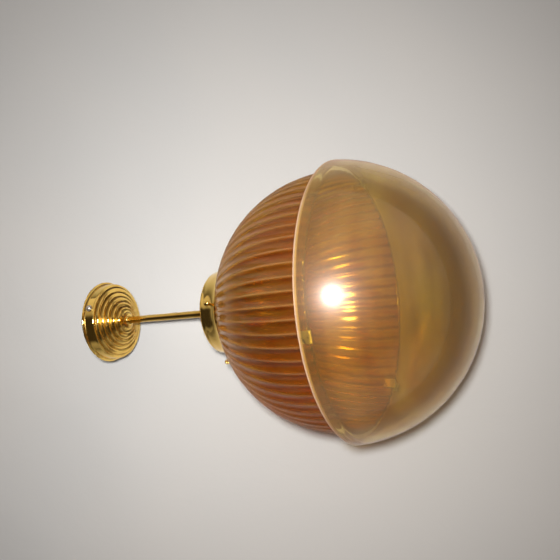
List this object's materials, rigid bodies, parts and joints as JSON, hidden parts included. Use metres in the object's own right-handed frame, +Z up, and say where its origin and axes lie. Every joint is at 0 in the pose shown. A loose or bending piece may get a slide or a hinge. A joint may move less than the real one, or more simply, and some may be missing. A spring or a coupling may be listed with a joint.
{
  "type": "ceiling pendant light",
  "caption": "Ceiling pendant light: stepped brass rose and stem, brass gallery gripping a fluted amber glass dome, and a wider smooth amber glass bowl hanging round the dome's rim.",
  "frame": {"origin": "centre of the rose's ceiling face, on the lamp's vertical axis", "axes": "+Z up into the ceiling, the lamp hanging down along -Z; -Y is the side with the first side screw and the first thumb screw"},
  "size_m": [0.3058, 0.3058, 0.4732],
  "materials": {
    "brass_polished": "mirror polished",
    "brass_dull": "plain turned",
    "nickel": "bright nickel plate",
    "zinc_steel": "zinc plated",
    "amber_fluted_glass": "amber pressed glass, fluted",
    "amber_smooth_glass": "amber blown glass, smooth",
    "clear_glass": "clear",
    "ceramic_white": "unglazed",
    "terminal_plastic": "moulded",
    "black_insulator": "vitreous black",
    "gasket_rubber": "soft",
    "tip_rubber": "soft cap",
    "wire_brown": "insulation",
    "wire_blue": "insulation",
    "wire_green_yellow": "insulation",
    "tungsten": "drawn wire"
  },
  "bodies": {
    "fixture": {"ceiling_rose": "brass_polished", "mounting_strap": "zinc_steel", "terminal_block": "terminal_plastic", "terminal_screw_live": "brass_dull", "terminal_screw_neutral": "brass_dull", "earth_tag": "brass_dull", "earth_screw": "brass_dull", "stem_tube": "brass_polished", "stem_top_washer": "zinc_steel", "stem_top_nut": "zinc_steel", "gallery": "brass_polished", "gallery_lock_nut": "brass_dull", "neck_gasket": "gasket_rubber", "lampholder_cap": "brass_dull", "lampholder_insulator": "ceramic_white", "lampholder_shell": "brass_dull", "lampholder_screw_sleeve": "brass_dull", "lampholder_contact": "brass_dull", "lampholder_ring": "brass_dull", "live_wire": "wire_brown", "neutral_wire": "wire_blue", "earth_wire": "wire_green_yellow", "ribbed_dome": "amber_fluted_glass", "bowl_clip_a": "brass_dull", "bowl_clip_b": "brass_dull", "bowl_clip_c": "brass_dull"},
    "side_screw_a_travel": {"side_screw_washer_a": "nickel"},
    "side_screw_a_turn": {"side_screw_a": "nickel"},
    "side_screw_b_travel": {"side_screw_washer_b": "nickel"},
    "side_screw_b_turn": {"side_screw_b": "nickel"},
    "thumb_screw_a_travel": {"thumb_tip_a": "tip_rubber"},
    "thumb_screw_a_turn": {"thumb_screw_a": "brass_dull"},
    "thumb_screw_b_travel": {"thumb_tip_b": "tip_rubber"},
    "thumb_screw_b_turn": {"thumb_screw_b": "brass_dull"},
    "thumb_screw_c_travel": {"thumb_tip_c": "tip_rubber"},
    "thumb_screw_c_turn": {"thumb_screw_c": "brass_dull"},
    "bulb_travel": {"bulb_contact": "zinc_steel"},
    "bulb_turn": {"bulb_glass": "clear_glass", "bulb_screw_cap": "zinc_steel", "bulb_insulator": "black_insulator", "bulb_glass_mount": "clear_glass", "bulb_lead_a": "tungsten", "bulb_lead_b": "tungsten", "bulb_filament": "tungsten"},
    "bowl": {"lower_bowl": "amber_smooth_glass"}
  },
  "joints": [
    {"name": "side_screw_a_back_out", "type": "slide", "parent": "fixture", "child": "side_screw_a_travel", "axis": [0.4195, -0.9078, 0], "range_m": [0, 0.006]},
    {"name": "side_screw_a_turn", "type": "hinge", "parent": "side_screw_a_travel", "child": "side_screw_a_turn", "pos_m": [0.02013, -0.04357, -0.0082], "axis": [0.4195, -0.9078, 0], "range_deg": [0, 3090]},
    {"name": "side_screw_b_back_out", "type": "slide", "parent": "fixture", "child": "side_screw_b_travel", "axis": [-0.4195, 0.9078, 0], "range_m": [0, 0.006]},
    {"name": "side_screw_b_turn", "type": "hinge", "parent": "side_screw_b_travel", "child": "side_screw_b_turn", "pos_m": [-0.02013, 0.04357, -0.0082], "axis": [-0.4195, 0.9078, 0], "range_deg": [0, 3090]},
    {"name": "thumb_screw_a_back_out", "type": "slide", "parent": "fixture", "child": "thumb_screw_a_travel", "axis": [0.2079, -0.9781, 0], "range_m": [0, 0.003]},
    {"name": "thumb_screw_a_turn", "type": "hinge", "parent": "thumb_screw_a_travel", "child": "thumb_screw_a_turn", "pos_m": [0.00936, -0.04402, -0.1886], "axis": [0.2079, -0.9781, 0], "range_deg": [0, 1545]},
    {"name": "thumb_screw_b_back_out", "type": "slide", "parent": "fixture", "child": "thumb_screw_b_travel", "axis": [-0.8829, -0.4695, 0], "range_m": [0, 0.003]},
    {"name": "thumb_screw_b_turn", "type": "hinge", "parent": "thumb_screw_b_travel", "child": "thumb_screw_b_turn", "pos_m": [-0.03973, -0.02113, -0.1886], "axis": [-0.8829, -0.4695, 0], "range_deg": [0, 1545]},
    {"name": "thumb_screw_c_back_out", "type": "slide", "parent": "fixture", "child": "thumb_screw_c_travel", "axis": [0.4226, 0.9063, 0], "range_m": [0, 0.003]},
    {"name": "thumb_screw_c_turn", "type": "hinge", "parent": "thumb_screw_c_travel", "child": "thumb_screw_c_turn", "pos_m": [0.01902, 0.04078, -0.1886], "axis": [0.4226, 0.9063, 0], "range_deg": [0, 1545]},
    {"name": "bulb_unscrew_travel", "type": "slide", "parent": "fixture", "child": "bulb_travel", "axis": [0, 0, -1], "range_m": [0, 0.024]},
    {"name": "bulb_turn", "type": "hinge", "parent": "bulb_travel", "child": "bulb_turn", "pos_m": [0, 0, -0.255], "axis": [0, 0, -1], "range_deg": [0, 2385]},
    {"name": "bowl_lower", "type": "slide", "parent": "fixture", "child": "bowl", "axis": [0, 0, -1], "range_m": [0, 0.06]}
  ],
  "couplings": [
    {"joint": "side_screw_a_turn", "follows": "side_screw_a_back_out", "rad_per_m": 8976},
    {"joint": "side_screw_b_turn", "follows": "side_screw_b_back_out", "rad_per_m": 8976},
    {"joint": "thumb_screw_a_turn", "follows": "thumb_screw_a_back_out", "rad_per_m": 8976},
    {"joint": "thumb_screw_b_turn", "follows": "thumb_screw_b_back_out", "rad_per_m": 8976},
    {"joint": "thumb_screw_c_turn", "follows": "thumb_screw_c_back_out", "rad_per_m": 8976},
    {"joint": "bulb_turn", "follows": "bulb_unscrew_travel", "rad_per_m": 1731.4}
  ]
}
